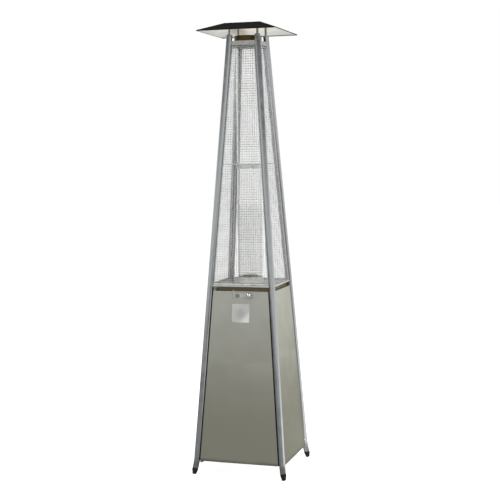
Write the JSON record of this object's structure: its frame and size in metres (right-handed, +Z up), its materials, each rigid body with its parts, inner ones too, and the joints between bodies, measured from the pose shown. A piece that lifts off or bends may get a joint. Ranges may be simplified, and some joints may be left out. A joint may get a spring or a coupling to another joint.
{
  "type": "outdoor heater",
  "caption": "Free-standing pyramid patio heater: leaning posts, sheet housing for a gas cylinder, glass flame tube behind wire guards, and a square reflector.",
  "frame": {"origin": "middle of the footprint on the floor, under the burner's axis", "axes": "+Z up along the heater's height; -Y is the front, with the door and the control knob; +X is the right side seen from the front"},
  "size_m": [0.498, 0.498, 2.27],
  "materials": {
    "polished_steel": "polished",
    "brushed_steel": "brushed",
    "panel_steel": "satin",
    "heated_steel": "heat-tinted, dark",
    "black_enamel": "semi-gloss",
    "guard_wire": "bright plated wire",
    "chromed": "bright chrome",
    "glass": "clear",
    "rubber": "matt",
    "brass": "machined",
    "copper": "drawn tube",
    "cast_alloy": "die cast",
    "black_plastic": "matt",
    "ceramic": "glazed white",
    "label_film": "satin, bare"
  },
  "bodies": {
    "frame": {"lower_post_front_left": "polished_steel", "lower_post_front_right": "polished_steel", "lower_post_rear_left": "polished_steel", "lower_post_rear_right": "polished_steel", "upper_post_front_left": "polished_steel", "upper_post_front_right": "polished_steel", "upper_post_rear_left": "polished_steel", "upper_post_rear_right": "polished_steel", "foot_front_left": "rubber", "foot_front_right": "rubber", "foot_rear_left": "rubber", "foot_rear_right": "rubber", "cylinder_shelf": "brushed_steel", "deck_tray": "brushed_steel", "left_panel": "panel_steel", "right_panel": "panel_steel", "rear_panel": "panel_steel", "door_bracket_lower": "brushed_steel", "door_bracket_upper": "brushed_steel", "door_pin_lower": "polished_steel", "door_pin_upper": "polished_steel", "door_magnet": "black_plastic", "control_fascia": "brushed_steel", "control_box": "brushed_steel", "gas_valve_body": "cast_alloy", "igniter_barrel": "chromed", "tilt_switch": "black_plastic", "gas_inlet_fitting": "brass", "venturi_tube": "brushed_steel", "injector": "brass", "burner_head": "heated_steel", "main_gas_tube": "copper", "pilot_tube": "copper", "pilot_burner": "brass", "thermocouple": "copper", "spark_electrode": "ceramic", "igniter_lead": "rubber", "tube_seat": "brushed_steel", "glass_tube_lower": "glass", "tube_mid_ring": "heated_steel", "glass_tube_upper": "glass", "flame_collar": "heated_steel", "front_guard": "guard_wire", "right_guard": "guard_wire", "rear_guard": "guard_wire", "left_guard": "guard_wire", "top_plate": "brushed_steel", "reflector": "black_enamel", "standoff_front_left": "polished_steel", "standoff_front_right": "polished_steel", "standoff_rear_left": "polished_steel", "standoff_rear_right": "polished_steel"},
    "door": {"door": "panel_steel", "door_striker": "brushed_steel", "label_plate": "label_film"},
    "valve_plug": {"valve_plug": "brass"},
    "knob": {"control_knob": "chromed", "valve_stem": "brass"},
    "igniter_button": {"igniter_button": "chromed"}
  },
  "joints": [
    {"name": "door_hinge", "type": "hinge", "parent": "frame", "child": "door", "pos_m": [-0.16859, -0.19509, 0.50007], "axis": [-0.0705, -0.0705, -0.995], "range_deg": [0, 100]},
    {"name": "knob_turn", "type": "hinge", "parent": "frame", "child": "valve_plug", "pos_m": [0.046, -0.16499, 0.911], "axis": [0, -0.9975, 0.0706], "range_deg": [0, 210]},
    {"name": "knob_push", "type": "slide", "parent": "valve_plug", "child": "knob", "axis": [0, 0.9975, -0.0706], "range_m": [0, 0.004], "stiffness_N_per_m": 900, "springref_m": -0.004},
    {"name": "igniter_push", "type": "slide", "parent": "frame", "child": "igniter_button", "axis": [0, 0.9975, -0.0706], "range_m": [0, 0.004], "stiffness_N_per_m": 900, "springref_m": -0.004}
  ]
}
